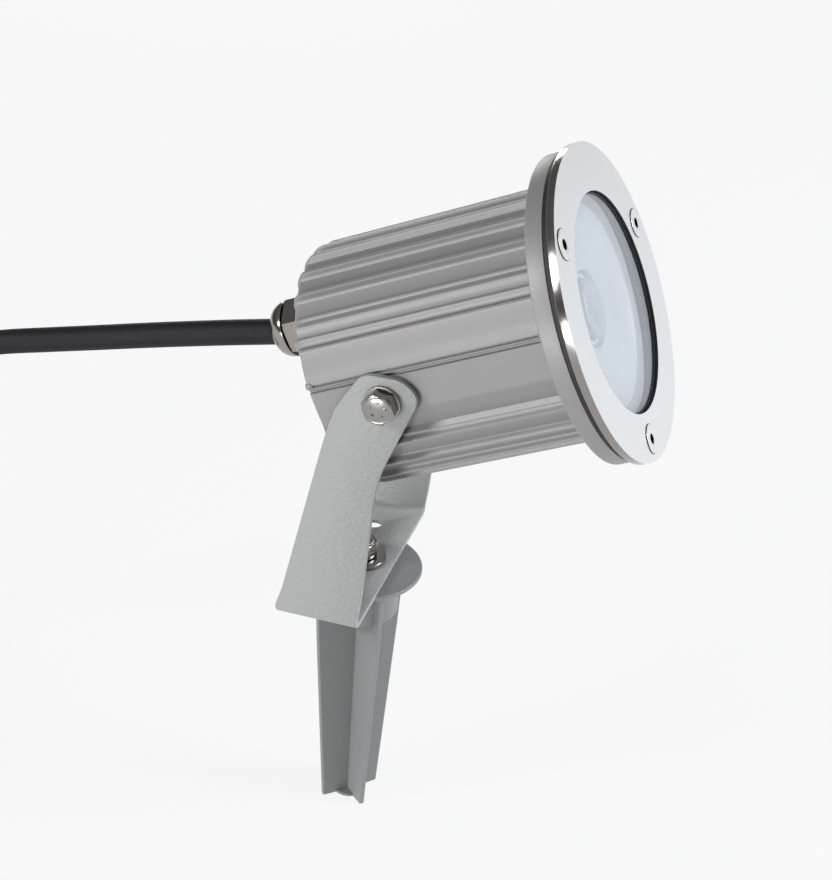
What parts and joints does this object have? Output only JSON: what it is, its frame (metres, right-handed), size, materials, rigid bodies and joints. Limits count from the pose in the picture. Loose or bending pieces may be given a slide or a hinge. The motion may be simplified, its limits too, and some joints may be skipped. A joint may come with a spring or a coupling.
{
  "type": "garden spike spotlight",
  "caption": "Outdoor LED spotlight with a finned round head, polished front ring and glass, tilting in a U bracket on a cross-bladed ground spike, with a rubber cable and plug.",
  "frame": {"origin": "on the spike's long axis at the ground line, where the spike enters the soil; the spike's point is 0.122 m below it", "axes": "+Z along the spike, up towards the lamp; the lamp's front faces +X and, at rest, about 25 degrees up; Y is the tilt axis; the cable leaves towards -X and its coil lies on the ground there"},
  "size_m": [0.4599, 0.1212, 0.3946],
  "materials": {
    "painted": "fine textured light grey powder coat",
    "cast": "die-cast aluminium body, satin light grey paint",
    "steel": "polished and satin stainless steel",
    "brass": "turned brass insert",
    "nickel": "nickel plated brass",
    "rubber": "black silicone seals",
    "cable": "black rubber sheath, satin",
    "glass": "clear toughened glass and clear lens",
    "white_plastic": "white moulded plastic",
    "board": "green circuit board",
    "white_board": "white solder mask",
    "led": "yellow phosphor",
    "aluminium": "plain aluminium",
    "component": "dark potted components",
    "wire": "insulated lead wire"
  },
  "bodies": {
    "stake": {"spike": "painted", "spike_insert": "brass", "spike_bolt": "steel", "spike_spring_washer": "steel", "spike_flat_washer": "steel"},
    "bracket": {"bracket": "painted", "cable_coil": "cable", "coil_tie": "cable", "cable_end": "cable", "plug_body": "cable", "plug_relief": "cable", "plug_pin_1": "nickel", "plug_pin_2": "nickel"},
    "head": {"housing": "cast", "front_ring": "steel", "ring_screw_1": "steel", "ring_screw_2": "steel", "ring_screw_3": "steel", "plate_screw_1": "steel", "plate_screw_2": "steel", "plate_screw_3": "steel", "pivot_washer_near": "steel", "pivot_washer_far": "steel", "pivot_bolt_near": "steel", "pivot_bolt_far": "steel", "gland_body": "nickel", "gland_locknut": "nickel", "gland_nut": "nickel", "housing_gasket": "rubber", "glass_seal": "rubber", "gland_o_ring": "rubber", "gland_seal": "rubber", "cable_tail": "cable", "cable_run": "cable", "front_glass": "glass", "led_lens": "glass", "reflector": "white_plastic", "lens_holder": "white_plastic", "driver_terminal": "white_plastic", "driver_carrier": "white_plastic", "pivot_friction_washer_near": "white_plastic", "pivot_friction_washer_far": "white_plastic", "driver_board": "board", "led_board": "white_board", "led_chip": "led", "led_plate": "aluminium", "driver_transformer": "component", "driver_capacitor": "component", "led_wire_1": "wire", "led_wire_2": "wire"}
  },
  "joints": [
    {"name": "bracket_swivel", "type": "hinge", "parent": "stake", "child": "bracket", "pos_m": [0, 0, 0.1046], "axis": [0, 0, 1], "range_deg": [-170, 170]},
    {"name": "head_tilt", "type": "hinge", "parent": "bracket", "child": "head", "pos_m": [0.0167, 0, 0.1955], "axis": [0, -1, 0], "range_deg": [-65, 65], "deforming": ["cable_run"]}
  ]
}
